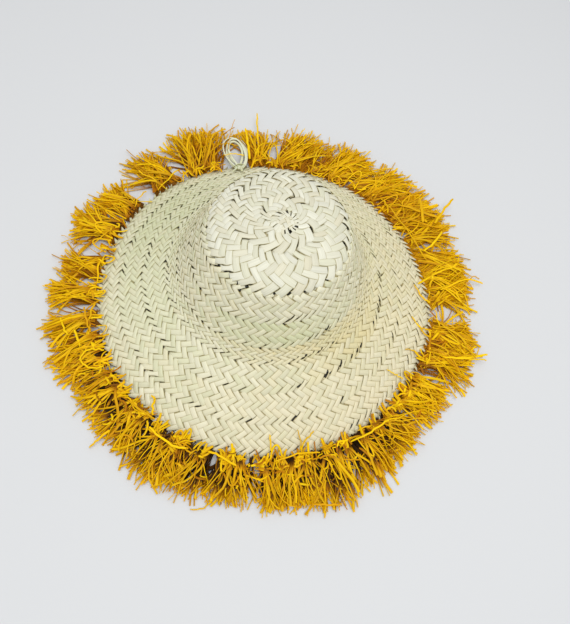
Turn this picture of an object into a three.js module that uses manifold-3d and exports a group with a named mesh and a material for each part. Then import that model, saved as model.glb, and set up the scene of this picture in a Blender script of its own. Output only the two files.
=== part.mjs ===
// A palm straw hat with a raffia fringe: a domed crown tip, a sloping crown side and a wide brim,
// sewn from flat plait in one spiral, with bunches of raffia knotted through the brim edge and
// a small palm loop at the back to hang it by.
// Millimetres, +Z up, the front of the hat towards -Y. The origin is on the surface that the hat
// lies on, below the middle of the crown.
import * as THREE from 'three';
import { ParametricGeometry } from 'three/addons/geometries/ParametricGeometry.js';
import { mergeVertices } from 'three/addons/utils/BufferGeometryUtils.js';
import Module from 'manifold-3d';

// The straw wall
const WALL = 2.4; // thickness of the plait
const GAP = 0.3; // clearance between neighbouring pieces
const COLUMNS = 60; // facets round the hat
const HUB_SHIFT = 9.6; // how far the middle of the tip's spiral lies to +X of the crown's middle
const SEAM_DIP = 0.9; // how far the wall sinks at a sewn seam
const TIP_PLAIT = 21; // seam spacing on the crown tip
const SIDE_PLAIT = 33; // seam spacing on the crown side and the brim

// The outer face of the wall in section, from the middle of the crown out to the brim edge
const PROFILE = [
  { place: 'apex', r: 0, z: 149 },
  { place: 'tip', r: 30, z: 146.5 },
  { place: 'shoulder', r: 54, z: 141 },
  { place: 'tip edge', r: 68, z: 133.5 },
  { place: 'upper wall', r: 75.5, z: 118 },
  { place: 'lower wall', r: 87, z: 92 },
  { place: 'crease', r: 99, z: 69 },
  { place: 'flare', r: 116, z: 51.5 },
  { place: 'mid brim', r: 148, z: 28 },
  { place: 'brim edge', r: 184, z: 5 },
];
const PROFILE_STEPS = 100; // measured points between two rows of the profile
// Rows of facets on each piece of the wall, outside and inside
const TIP_ROWS = { outer: 6, inner: 4 };
const SIDE_ROWS = { outer: 6, inner: 3 };
const BRIM_ROWS = { outer: 9, inner: 5 };

// The fringe: a heading wound round the brim edge, and bunches of raffia that lie out from it
const HEADING_START = 114; // degrees anticlockwise from +X
const HEADING_END = 462; // the gap from 462 - 360 to 114 degrees is left for the hanging loop
const HEADING = [
  { r: 178, z: 0 },
  { r: 192, z: 0 },
  { r: 195, z: 5 },
  { r: 191, z: 11 },
  { r: 179, z: 15.5 },
  { r: 174.5, z: 14.5 },
];
const HEADING_COLUMNS = 58;
const STRIPS = 86;
const STRIP_ROOT = 187; // radius at which a strip starts, inside the heading
const STRIP_SIDES = 4;
const STRIP_WIDE = 8; // half width of a strip at its widest
const STRIP_THICK = 3.4; // half thickness of a strip
const STRIP_STATIONS = [
  { along: 0, wide: 0, thick: 0, z: 6.5, lift: 0 },
  { along: 0.16, wide: 0.75, thick: 1, z: 7, lift: 0.6 },
  { along: 0.6, wide: 1, thick: 0.9, z: 3.8, lift: 1 },
  { along: 0.94, wide: 0.8, thick: 0.65, z: 2.5, lift: 0.8 },
  { along: 1, wide: 0, thick: 0, z: 2.3, lift: 0.8 },
];
// Strips lie by turns on the surface and over their neighbours
const LAYERS = [
  { name: 'under', shorter: 0, lift: 0 },
  { name: 'over', shorter: 7, lift: 6.5 },
];
const UNEVEN_SEED = 7; // starts the same run of chances each time
const UNEVEN_REACH = 5; // most that chance adds to or takes from a strip's reach
const UNEVEN_TURN = 1.1; // most that chance turns a strip, in degrees
// How far the fringe reaches from the middle of the hat, and how far its tips are swept round
const FRINGE_REACH = [
  { at: 0, reach: 233, sweep: 0 },
  { at: 12, reach: 242, sweep: -2 },
  { at: 40, reach: 248, sweep: -5 },
  { at: 60, reach: 244, sweep: -5 },
  { at: 82, reach: 240, sweep: -3 },
  { at: 102, reach: 240, sweep: -1 },
  { at: 114, reach: 238, sweep: 0 },
  { at: 122, reach: 247, sweep: 0 },
  { at: 134, reach: 240, sweep: 2 },
  { at: 150, reach: 231, sweep: 0 },
  { at: 166, reach: 243, sweep: 2 },
  { at: 176, reach: 212, sweep: 0 },
  { at: 186, reach: 242, sweep: -2 },
  { at: 200, reach: 246, sweep: 0 },
  { at: 218, reach: 234, sweep: -2 },
  { at: 245, reach: 239, sweep: 0 },
  { at: 275, reach: 241, sweep: 1 },
  { at: 295, reach: 239, sweep: -1 },
  { at: 324, reach: 234, sweep: 4 },
  { at: 346, reach: 242, sweep: 2 },
  { at: 360, reach: 233, sweep: 0 },
];

// The hanging loop
const LOOP_AT = 107.5; // degrees anticlockwise from +X
const LOOP_FROM = 177; // radius at which the loop leaves its knot
const LOOP_LENGTH = 46; // from there to the far end, between the cord's middles
const LOOP_WIDTH = 25.5; // between the cord's middles
const LOOP_CORD = 2.3; // half thickness of the wound strands
const LOOP_PEAR = 0.22; // how much wider the far half is than the near half
const LOOP_RISE = { near: 12.5, far: 4.5 };
const LOOP_STEPS = 28;
const LOOP_SIDES = 8;
// The knot that holds the loop round the brim edge: its middle, half sizes and facets
const KNOT = { r: 181, z: 8.5, radial: 8, around: 6, tall: 6.5, columns: 10, rows: 8 };

const STRAW = { roughness: 0.75, metalness: 0 };
const TIP_COLOUR = '#ece6cf';
const PLAIT_COLOUR = '#ded7b4';
const RAFFIA_COLOUR = '#d99a0b';
const LOOP_COLOUR = '#d3d8b2';

const wasm = await Module();
wasm.setup();

// A closed three.js geometry as a solid that can be joined and cut
function toSolid(geometry) {
  geometry.deleteAttribute('normal');
  geometry.deleteAttribute('uv');
  const merged = mergeVertices(geometry);
  const corners = merged.index.array;
  const kept = [];
  for (let i = 0; i < corners.length; i += 3) {
    const [a, b, c] = corners.subarray(i, i + 3);
    if (a !== b && b !== c && c !== a) {
      kept.push(a, b, c);
    }
  }
  const vertProperties = new Float32Array(merged.attributes.position.array);
  const triVerts = new Uint32Array(kept);
  return new wasm.Manifold(new wasm.Mesh({ numProp: 3, vertProperties, triVerts }));
}

function toMesh(name, solid, colour) {
  const { vertProperties, triVerts } = solid.getMesh();
  const geometry = new THREE.BufferGeometry();
  geometry.setAttribute('position', new THREE.BufferAttribute(vertProperties, 3));
  geometry.setIndex(new THREE.BufferAttribute(triVerts, 1));
  geometry.computeVertexNormals();
  const mesh = new THREE.Mesh(geometry, new THREE.MeshStandardMaterial({ color: colour, ...STRAW }));
  mesh.name = name;
  return mesh;
}

// The point at a radius, an angle in degrees and a height
function polar(r, degrees, z, target) {
  const angle = THREE.MathUtils.degToRad(degrees);
  return target.set(r * Math.cos(angle), r * Math.sin(angle), z);
}

const profile = new THREE.SplineCurve(PROFILE.map(({ r, z }) => new THREE.Vector2(r, z)));
const profileLength = profile.getLength();

// Distance along the profile from the apex to a named place
function distanceTo(place) {
  const index = PROFILE.findIndex((row) => row.place === place);
  const parts = PROFILE.length - 1;
  const lengths = profile.getLengths(parts * PROFILE_STEPS);
  return lengths[index * PROFILE_STEPS];
}

const tipEdge = distanceTo('tip edge');
const crease = distanceTo('crease');

// The plait sinks at the seams, which wind outwards as a spiral
function seamDip(distance, turn) {
  if (distance === 0) {
    return 0;
  }
  const plait = distance < tipEdge ? TIP_PLAIT : SIDE_PLAIT;
  const phase = (distance - tipEdge) / plait - turn;
  return SEAM_DIP * (0.5 + 0.5 * Math.cos(2 * Math.PI * phase));
}

// A point of the straw wall: distance along the profile, turns round the hat, depth below the face
function wallPoint(distance, turn, depth, target) {
  const beyond = Math.max(0, distance - profileLength);
  const u = Math.min(1, distance / profileLength);
  const face = profile.getPointAt(u);
  const along = profile.getTangentAt(u);
  const r = face.x + along.x * beyond + along.y * depth;
  const z = face.y + along.y * beyond - along.x * depth;
  polar(Math.max(0, r), turn * 360, z, target);
  target.x += HUB_SHIFT * Math.max(0, 1 - distance / tipEdge);
}

// One sewn piece of the wall between two distances along the profile, with clearance added all over
function strawWall(from, to, rows, clearance = 0) {
  const end = to + clearance;
  const section = [];
  for (let row = 0; row <= rows.outer; row += 1) {
    section.push({ distance: THREE.MathUtils.lerp(from, end, row / rows.outer), outside: true });
  }
  for (let row = 0; row <= rows.inner; row += 1) {
    section.push({ distance: THREE.MathUtils.lerp(end, from, row / rows.inner), outside: false });
  }
  section.push(section[0]);
  const strips = section.length - 1;
  const skin = (u, v, target) => {
    const { distance, outside } = section[Math.round(u * strips)];
    const depth = outside ? seamDip(distance, v) - clearance : WALL + clearance;
    wallPoint(distance, v, depth, target);
  };
  return toSolid(new ParametricGeometry(skin, strips, COLUMNS));
}

const crownTip = strawWall(0, tipEdge - GAP / 2, TIP_ROWS);
const crownSide = strawWall(tipEdge + GAP / 2, crease - GAP / 2, SIDE_ROWS);
const brim = strawWall(crease + GAP / 2, profileLength, BRIM_ROWS);
const brimRoom = strawWall(crease + GAP / 2, profileLength, BRIM_ROWS, GAP);

// The raffia wound along the brim edge, as a length of ring with two flat ends
function headingRing() {
  const shape = new THREE.Shape(HEADING.map(({ r, z }) => new THREE.Vector2(r, z)));
  const ring = new THREE.ExtrudeGeometry(shape, { depth: 1, steps: HEADING_COLUMNS, bevelEnabled: false });
  const position = ring.attributes.position;
  const point = new THREE.Vector3();
  for (let i = 0; i < position.count; i += 1) {
    point.fromBufferAttribute(position, i);
    const degrees = THREE.MathUtils.lerp(HEADING_END, HEADING_START, point.z);
    polar(point.x, degrees, point.y, point);
    position.setXYZ(i, point.x, point.y, point.z);
  }
  return toSolid(ring);
}

// The fringe's reach and sweep at an angle, between the two nearest rows of its table
function fringeAt(degrees) {
  const angle = THREE.MathUtils.euclideanModulo(degrees, 360);
  const next = FRINGE_REACH.findIndex((row) => row.at > angle);
  const [a, b] = [FRINGE_REACH[next - 1], FRINGE_REACH[next]];
  const part = (angle - a.at) / (b.at - a.at);
  return {
    reach: THREE.MathUtils.lerp(a.reach, b.reach, part),
    sweep: THREE.MathUtils.lerp(a.sweep, b.sweep, part),
  };
}

// One flat strip of raffia tails, from its root in the heading out to its cut tip
function raffiaStrip(degrees, layer) {
  const { reach, sweep } = fringeAt(degrees);
  const tip = reach - layer.shorter + UNEVEN_REACH * (THREE.MathUtils.seededRandom() * 2 - 1);
  const turned = sweep + UNEVEN_TURN * (THREE.MathUtils.seededRandom() * 2 - 1);
  const spans = STRIP_STATIONS.length - 1;
  const skin = (u, v, target) => {
    const station = STRIP_STATIONS[Math.round(v * spans)];
    const r = THREE.MathUtils.lerp(STRIP_ROOT, tip, station.along);
    const round = 2 * Math.PI * u;
    const across = STRIP_WIDE * station.wide * Math.cos(round);
    const up = STRIP_THICK * station.thick * Math.sin(round);
    const angle = degrees + turned * station.along + THREE.MathUtils.radToDeg(across / r);
    polar(r, angle, station.z + layer.lift * station.lift + up, target);
  };
  return toSolid(new ParametricGeometry(skin, STRIP_SIDES, spans));
}

function raffiaFringe() {
  THREE.MathUtils.seededRandom(UNEVEN_SEED);
  let fringe = headingRing();
  for (let strip = 0; strip < STRIPS; strip += 1) {
    const degrees = THREE.MathUtils.lerp(HEADING_START, HEADING_END, (strip + 0.5) / STRIPS);
    fringe = fringe.add(raffiaStrip(degrees, LAYERS[strip % LAYERS.length]));
  }
  return fringe.subtract(brimRoom);
}

// The middle of the loop's cord, in the loop's own plane: across it and out along the hat's radius
function loopLine(turn) {
  const round = 2 * Math.PI * turn;
  const out = (LOOP_LENGTH / 2) * (1 - Math.cos(round));
  const across = (LOOP_WIDTH / 2) * Math.sin(round) * (1 - LOOP_PEAR * Math.cos(round));
  return new THREE.Vector2(across, out);
}

function hangingLoop() {
  const skin = (u, v, target) => {
    const middle = loopLine(v);
    const along = loopLine(v + 0.5 / LOOP_STEPS).sub(loopLine(v - 0.5 / LOOP_STEPS)).normalize();
    const round = 2 * Math.PI * u;
    const side = LOOP_CORD * Math.cos(round);
    const up = -LOOP_CORD * Math.sin(round);
    const across = middle.x - along.y * side;
    const out = middle.y + along.x * side;
    const z = THREE.MathUtils.lerp(LOOP_RISE.near, LOOP_RISE.far, middle.y / LOOP_LENGTH);
    target.set(LOOP_FROM + out, across, z + up);
  };
  const cord = new ParametricGeometry(skin, LOOP_SIDES, LOOP_STEPS);
  const knot = new THREE.SphereGeometry(1, KNOT.columns, KNOT.rows);
  knot.scale(KNOT.radial, KNOT.around, KNOT.tall);
  knot.translate(KNOT.r, 0, KNOT.z);
  for (const piece of [cord, knot]) {
    piece.rotateZ(THREE.MathUtils.degToRad(LOOP_AT));
  }
  return toSolid(cord).add(toSolid(knot)).subtract(brimRoom);
}

const group = new THREE.Group();
group.add(
  toMesh('crown_tip', crownTip, TIP_COLOUR),
  toMesh('crown_side', crownSide, PLAIT_COLOUR),
  toMesh('brim', brim, PLAIT_COLOUR),
  toMesh('fringe', raffiaFringe(), RAFFIA_COLOUR),
  toMesh('hanging_loop', hangingLoop(), LOOP_COLOUR),
);

export default group;
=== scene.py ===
import math

import bpy
import numpy as np
from mathutils import Matrix, Vector


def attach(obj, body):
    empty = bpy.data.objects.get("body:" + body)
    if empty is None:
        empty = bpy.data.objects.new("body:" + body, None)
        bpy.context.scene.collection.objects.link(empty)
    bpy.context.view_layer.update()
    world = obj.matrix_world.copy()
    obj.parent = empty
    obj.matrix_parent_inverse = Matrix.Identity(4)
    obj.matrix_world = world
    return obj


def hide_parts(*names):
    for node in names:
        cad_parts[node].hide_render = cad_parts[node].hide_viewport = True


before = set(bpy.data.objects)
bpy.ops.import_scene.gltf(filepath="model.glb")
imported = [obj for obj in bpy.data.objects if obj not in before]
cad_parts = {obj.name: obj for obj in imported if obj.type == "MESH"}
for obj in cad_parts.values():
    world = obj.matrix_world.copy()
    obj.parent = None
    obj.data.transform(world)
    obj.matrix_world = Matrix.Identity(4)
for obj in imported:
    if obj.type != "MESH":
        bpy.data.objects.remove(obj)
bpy.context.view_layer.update()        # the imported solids, in metres, +Z up, the front of the hat towards -Y
scene = bpy.context.scene

# The crown tip is the round top of the crown: a plait of wide, pale palm strands, plaited over two
# and under two, coiled flat from its middle and sewn edge to edge. The coil's middle lies to one
# side, and its first short turns leave gaps. Sizes are millimetres until a mesh is made.
MM = 0.001
FULL_TURN = 2 * math.pi
WALL = 2.4  # thickness of the straw
CROWN_LEAN = 0.04  # how far the crown leans to +X for each step of height
HUB_SHIFT = (1.5, -5.0)  # where the coil's inner turns lie from the crown's middle
EYE_SHIFT = (3.5, 8.0)  # and where the very middle lies from them
PROFILE = {  # radius and height of the straw's outer face, from the crown's middle to the brim edge
    "apex": (0, 149),
    "tip": (30, 146.5),
    "shoulder": (54, 141),
    "tip edge": (68, 133.5),
    "upper wall": (75.5, 118),
    "lower wall": (87, 92),
    "crease": (99, 69),
    "flare": (116, 51.5),
    "mid brim": (148, 28),
    "brim edge": (184, 5),
}
PROFILE_STEPS = 60  # measured points between two places of the profile
EDGE_ROOM = 12  # the profile runs on this far past the brim edge, for strands that fold round it
BULGES = [  # where the straw is out of round: angle and distance, their reach, and how far out it stands
    {"at": -5, "wide": 15, "along": 250, "deep": 45, "out": 5.5},
    {"at": 92, "wide": 34, "along": 250, "deep": 45, "out": -6.0},
    {"at": 90, "wide": 45, "along": 80, "deep": 35, "out": 3.0},
]


def smooth_line(rows, steps):
    """Points of the smooth curve that passes through every row, with the last row at the end."""
    here, there = rows[:-1], rows[1:]
    before = np.vstack([rows[:1], rows[:-2]])
    after = np.vstack([rows[2:], rows[-1:]])
    leave = (there - before) / 2
    arrive = (after - here) / 2
    t = (np.arange(steps) / steps)[None, :, None]
    here, there, leave, arrive = (each[:, None] for each in (here, there, leave, arrive))
    bend = 3 * (there - here) - 2 * leave - arrive
    turn = 2 * (here - there) + leave + arrive
    curve = here + leave * t + bend * t**2 + turn * t**3
    return np.vstack([curve.reshape(-1, rows.shape[1]), rows[-1:]])


def unit(vectors):
    return vectors / np.linalg.norm(vectors, axis=-1, keepdims=True)


section_line = smooth_line(np.array(list(PROFILE.values()), float), PROFILE_STEPS)
edge_way = unit(section_line[-1] - section_line[-2])
section_line = np.vstack([section_line, section_line[-1] + edge_way * EDGE_ROOM])
section_run = np.concatenate([[0], np.cumsum(np.linalg.norm(np.diff(section_line, axis=0), axis=1))])
section_way = unit(np.gradient(section_line, section_run, axis=0))


def distance_to(place):
    """Distance along the profile from the apex to one of its places."""
    return section_run[list(PROFILE).index(place) * PROFILE_STEPS]


tip_edge = distance_to("tip edge")
crease = distance_to("crease")
brim_edge = distance_to("brim edge")


def radius_at(distance):
    return np.interp(distance, section_run, section_line[:, 0])


def turned_from(degrees, middle):
    """Degrees from one angle to another, between -180 and 180."""
    return (degrees - middle + 180) % 360 - 180


def nearness(patch, distance, angle):
    """How much a patch of the straw is felt at a place: 1 at its middle, and little beyond its reach."""
    aside = turned_from(np.degrees(angle), patch["at"]) / patch["wide"]
    along = (distance - patch["along"]) / patch["deep"]
    return np.exp(-(aside**2 + along**2))


def bulged(distance, angle):
    """How far outside its profile the straw lies."""
    return sum(bulge["out"] * nearness(bulge, distance, angle) for bulge in BULGES)


def straw_point(distance, angle, lift):
    """Points of the straw, `lift` above its outer face, and the way that face looks there."""
    r = radius_at(distance) + bulged(distance, angle)
    z = np.interp(distance, section_run, section_line[:, 1])
    out = -np.interp(distance, section_run, section_way[:, 1])
    up = np.interp(distance, section_run, section_way[:, 0])
    face = np.stack([out * np.cos(angle), out * np.sin(angle), up], -1)
    inward = np.maximum(0, 1 - distance / tip_edge)
    x = r * np.cos(angle) + HUB_SHIFT[0] * inward + EYE_SHIFT[0] * inward**3 + CROWN_LEAN * z
    y = r * np.sin(angle) + HUB_SHIFT[1] * inward + EYE_SHIFT[1] * inward**3
    points = np.stack([x, y, z], -1)
    return points + face * np.asarray(lift)[..., None], face


FLOOR_FREE = 0.2  # nothing reaches lower than this over the surface that the hat lies on

# A palm strand in section: across it and up through it, in half widths and half thicknesses
PALM_SECTION = np.array([(1, 0), (0.88, 1), (-0.88, 1), (-1, 0), (-0.88, -1), (0.88, -1)])


def ribbon(points, face, half_width, half_thick, section, shade, mark):
    """A closed strip along points, with its broad side to `face`.

    Its shade is one colour or one for each point, and its mark gives it a grain of its own."""
    way = unit(np.gradient(points, axis=0))
    side = unit(np.cross(way, face))
    top = np.cross(side, way)
    wide = side * np.broadcast_to(half_width, len(points))[:, None]
    thick = top * np.broadcast_to(half_thick, len(points))[:, None]
    corners = points[:, None] + section[:, :1] * wide[:, None] + section[:, 1:] * thick[:, None]
    corners[..., 2] = np.maximum(corners[..., 2], FLOOR_FREE)
    run = np.concatenate([[0], np.cumsum(np.linalg.norm(np.diff(points, axis=0), axis=1))])
    fibre = np.empty_like(corners)
    fibre[..., 0] = section[:, 0]
    fibre[..., 1] = run[:, None]
    fibre[..., 2] = mark
    return {"corners": corners, "fibre": fibre, "shade": np.broadcast_to(shade, (len(points), 3))}


SHARP_ANGLE = math.radians(55)  # a strand's thin rims stay crisp
CELL_EDGE = 0.06  # bare rim of each strand's own place on the colour map


def map_places(number, cells, rings, sides):
    """Places of a strand's faces on the colour map: in a cell of its own, its end faces at one corner."""
    cell = np.array([number % cells, number // cells])
    along, across = np.mgrid[0:rings - 1, 0:sides]
    turns = [(0, 0), (1, 0), (1, 1), (0, 1)]
    places = np.array([((across + b) / sides, (along + a) / (rings - 1)) for a, b in turns])
    places = np.moveaxis(places, (0, 1), (2, 3)).reshape(-1, 2)
    inside = CELL_EDGE + (1 - 2 * CELL_EDGE) * places
    return np.vstack([cell + inside, np.tile(cell, (2 * sides, 1))]) / cells


def add_object(name, data):
    """A new object in the scene."""
    made = bpy.data.objects.new(name, data)
    scene.collection.objects.link(made)
    return made


def strand_piece(name, ribbons, material, node):
    """One mesh of all these strands, riding on the hat and standing for one of its solids."""
    faces, places = [], []
    start = 0
    cells = math.ceil(math.sqrt(len(ribbons)))
    for number, strand in enumerate(ribbons):
        rings, sides = strand["corners"].shape[:2]
        grid = start + np.arange(rings * sides).reshape(rings, sides)
        beside = np.roll(grid, -1, axis=1)
        faces += np.stack([grid[:-1], grid[1:], beside[1:], beside[:-1]], -1).reshape(-1, 4).tolist()
        faces += [grid[0].tolist(), grid[-1][::-1].tolist()]
        places.append(map_places(number, cells, rings, sides))
        start += rings * sides
    mesh = bpy.data.meshes.new(name)
    corners = np.vstack([strand["corners"].reshape(-1, 3) for strand in ribbons]) * MM
    mesh.from_pydata(corners.tolist(), [], faces)
    fibre = np.vstack([strand["fibre"].reshape(-1, 3) for strand in ribbons])
    mesh.attributes.new("fibre", "FLOAT_VECTOR", "POINT").data.foreach_set("vector", fibre.ravel())
    shades = [np.repeat(strand["shade"], strand["corners"].shape[1], axis=0) for strand in ribbons]
    shades = np.vstack(shades)
    shade = mesh.attributes.new("shade", "FLOAT_COLOR", "POINT")
    shade.data.foreach_set("color", np.hstack([shades, np.ones((len(shades), 1))]).ravel())
    mesh.uv_layers.new(name="OFBake").uv.foreach_set("vector", np.vstack(places).ravel())
    mesh.shade_smooth()
    mesh.set_sharp_from_angle(angle=SHARP_ANGLE)
    mesh.materials.append(material)
    piece = add_object(name, mesh)
    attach(piece, "root")
    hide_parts(node)


PALM_HALF_THICK = 0.33
PALM_RISE = 0.43  # how far a strand stands above or below the middle of the straw
WEAVE_CRISP = 1.9  # how suddenly strands go from over to under
UNDER_PAINTED_SHADE = np.array([0.44, 0.5, 0.64])  # painted shade: shares of red, green and blue that strands lose where they run below others, so the gaps between strands look shaded
UNDER_FROM, UNDER_RATE = 0.2, 1.6  # how far below they start to take the painted shade, and how fast
NIP_LUCK = (-1.4, 1)  # luck of being nipped at a row, with no nip below 0
SEAM_TUCK = 1.1  # how far strand ends sink under the next turn of the plait
SEAM_TUCK_OVER = 0.3  # rows past the plait's edge over which they sink
SEAM_REACH = (0.35, 0.65)  # how far strand ends pass the plait's own edge, in rows
SEAM_OPEN = 1.9  # how far short of the outer edge the strands below it stop, in rows
SEAM_START = 0.35  # how far outside the inner edge the strands below it start, in rows
SLIT_IN, SLIT_LONG, SLIT_FLAT = 0.9, 0.75, 1.6  # gaps along the edge: rows inside it, length, evenness
SHORTEST = 0.3  # shorter ends are left out, in rows
COURSE_POINTS = 48  # points at which a strand's course is tried
GRAIN_ROOM = 100  # strands take their grain from places this far apart at most


def smooth_step(value):
    value = np.clip(value, 0, 1)
    return value * value * (3 - 2 * value)


GATHER = {"from": 131, "over": 30, "extra": 15.9}  # round the crease the plait is pressed together
straw_run = section_run + GATHER["extra"] * smooth_step((section_run - GATHER["from"]) / GATHER["over"])


def gathered(run):
    """Distance along the profile, from the run of the straw itself."""
    return np.interp(run, straw_run, section_run)


def plait_strands(plait, angles, cut, steps, fold, chance):
    """Strands of a coiled plait, kept between the two distances of `cut`, with `steps` points to a row.

    A plait has a width and a number of rows. Its inner edge lies at the distance `coil` for an angle, and
    `size` says how wide it is there. Strands lean both ways, going along it by its pace for each step
    across, and `skew` tips both leans alike. They are spaced as on the circle at the share `even` of its
    width, or on one of the radius `least`. Going out, each lean is on top for two rows and below for two.
    Strands take up `fill` of their room, are set off by about `drift` of a step and turned by `stray`.
    They narrow by up to `nip` here and there, and along the outer edge by up to `slit`, with a luck from
    `shut` to 1 that leaves them closed below 0. `shade` gives their colour. At an edge of the straw,
    `fold` says how far strands sink and what share of their width is left."""
    rows, pace = plait["rows"], plait["pace"]
    row = plait["width"] / rows
    sizes = plait["size"](angles)
    middle = radius_at(gathered(plait["coil"](angles) + plait["even"] * plait["width"] * sizes))
    middle = np.maximum(middle, plait["least"])
    pitch = middle / sizes
    run = np.concatenate([[0], np.cumsum(np.diff(angles) * (pitch[1:] + pitch[:-1]) / 2)])
    ribbons = []
    for number in range(int(run[-1] / (2 * row * pace))):
        for lean in (1, -1):
            fill = chance.uniform(*plait["fill"])
            slit = max(0, chance.uniform(plait["shut"], 1))
            nips = np.maximum(0, chance.uniform(*NIP_LUCK, rows + 3))
            drift = chance.normal(0, plait["drift"])
            stray = chance.normal(0, plait["stray"])
            past = chance.uniform(*SEAM_REACH)
            luck = chance.random(3)
            first = (2 * number + (lean < 0) + drift) * row * pace - stray * plait["width"] / 2
            reach = (-past, rows - SEAM_OPEN) if lean > 0 else (SEAM_START, rows + past)
            across = np.linspace(reach[0], reach[1], COURSE_POINTS) * row
            slope = lean * pace + plait["skew"] + stray

            # The strand's whole course, and how much of it lies between the cuts
            along = first + slope * across
            if along.min() < 0 or along.max() > run[-1]:
                continue
            angle = np.interp(along, run, angles)
            distance = gathered(plait["coil"](angle) + across * plait["size"](angle))
            if distance[-1] < cut[0] or distance[0] > cut[1]:
                continue
            low, high = np.interp(cut, distance, across)
            if high - low < SHORTEST * row:
                continue

            # The strand between them, going over and under
            across = np.linspace(low, high, max(3, int((high - low) / row * steps) + 2))
            along = first + slope * across
            angle = np.interp(along, run, angles)
            size = plait["size"](angle)
            straw = plait["coil"](angle) + across * size
            distance = gathered(straw)
            over = lean * np.cos(math.pi / 2 * (across / row - 1))
            beyond = np.maximum(-across, across - plait["width"]) / (SEAM_TUCK_OVER * row)
            drop, share = fold(lean, distance)
            lift = PALM_RISE * np.tanh(WEAVE_CRISP * over) / math.tanh(WEAVE_CRISP)
            lift = lift - WALL / 2 - SEAM_TUCK * smooth_step(beyond) - drop
            points, face = straw_point(distance, angle, lift)

            # Its width, which fills the room that the coil leaves it, and its colour
            stretch = size * np.maximum(radius_at(distance), 1) / np.interp(along, run, middle)
            press = size * np.interp(straw, straw_run, np.gradient(section_run, straw_run))
            rise = np.gradient(distance, across)
            half = fill * share * row * pace * stretch * press / np.hypot(slope * stretch, rise)
            half = half * (1 - plait["nip"] * np.interp(across / row, np.arange(rows + 3) - 1, nips))
            if lean < 0:
                outer = smooth_step(SLIT_FLAT - np.abs(across / row - rows + SLIT_IN) / SLIT_LONG)
                half = half * (1 - slit * plait["slit"](angle) * outer)
            shade = plait["shade"](angle.mean(), distance.mean(), luck)
            # Painted shade where the strand runs below the others, seen through the gaps between strands
            shade = shade * (1 - UNDER_PAINTED_SHADE * smooth_step(-UNDER_FROM - UNDER_RATE * over)[:, None])
            mark = luck[2] * GRAIN_ROOM
            ribbons.append(ribbon(points, face, half, PALM_HALF_THICK, PALM_SECTION, shade, mark))
    return ribbons


def linear(code):
    """A colour written as on a screen, as the shares of light that it sends back."""
    part = np.array([int(code[at:at + 2], 16) for at in (1, 3, 5)]) / 255
    return np.where(part <= 0.04045, part / 12.92, ((part + 0.055) / 1.055) ** 2.4)


def blend_of(colours, luck):
    """A colour from a row of them, with luck from 0 to 1 along the row."""
    place = np.linspace(0, 1, len(colours))
    table = np.array([linear(code) for code in colours])
    return np.array([np.interp(luck, place, table[:, part]) for part in range(3)])


GRAIN_SPAN = (0.3, 0.7)  # the part of the noise that shows as streaks
RIM_FROM = 0.8  # the sides of a strand start this far across its half width
RIB_HEIGHT = 0.3


def feed(tree, node, inputs):
    """Sets a node's inputs to values, or links them to outputs of other nodes."""
    for name, value in inputs.items():
        if isinstance(value, bpy.types.NodeSocket):
            tree.links.new(value, node.inputs[name])
        else:
            node.inputs[name].default_value = value


def add_node(tree, kind, out, inputs, **settings):
    """One output of a new node of a material, made with these inputs and settings."""
    node = tree.nodes.new("ShaderNode" + kind)
    for name, value in settings.items():
        setattr(node, name, value)
    feed(tree, node, inputs)
    return node.outputs[out]


def fibre_material(name, streaks, tones, rough, gloss, bump, rim):
    """Dried leaf in its strand's colour, streaked and ribbed along its grain, its sides darkened by `rim` as
    painted shade between strands.
    """
    material = bpy.data.materials.new(name)
    material.use_nodes = True
    tree = material.node_tree
    shade = add_node(tree, "Attribute", "Color", {}, attribute_name="shade")
    fibre = add_node(tree, "Attribute", "Vector", {}, attribute_name="fibre")
    drawn = add_node(tree, "VectorMath", "Vector", {0: fibre, 1: streaks}, operation="MULTIPLY")
    grain = add_node(tree, "TexNoise", "Fac", {"Vector": drawn, "Scale": 1.0, "Detail": 4.0})
    tone = add_node(tree, "MapRange", "Result", {
        "Value": grain, "From Min": GRAIN_SPAN[0], "From Max": GRAIN_SPAN[1],
        "To Min": tones[0], "To Max": tones[1],
    })
    streaked = add_node(tree, "VectorMath", "Vector", {0: shade, "Scale": tone}, operation="SCALE")
    across = add_node(tree, "SeparateXYZ", "X", {"Vector": fibre})
    aside = add_node(tree, "Math", "Value", {0: across}, operation="ABSOLUTE")
    edge = add_node(tree, "MapRange", "Result", {"Value": aside, "From Min": RIM_FROM})
    rimmed = add_node(tree, "Mix", "Result", {"Factor": edge, "A": streaked, "B": (*linear(rim), 1)},
                      data_type="RGBA", blend_type="MULTIPLY")
    matt = add_node(tree, "MapRange", "Result", {"Value": grain, "To Min": rough[0], "To Max": rough[1]})
    ribs = add_node(tree, "Bump", "Normal", {"Height": grain, "Strength": bump, "Distance": RIB_HEIGHT * MM})
    feed(tree, tree.nodes["Principled BSDF"], {
        "Base Color": rimmed, "Roughness": matt, "Normal": ribs, "Specular IOR Level": gloss,
    })
    return material


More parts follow.
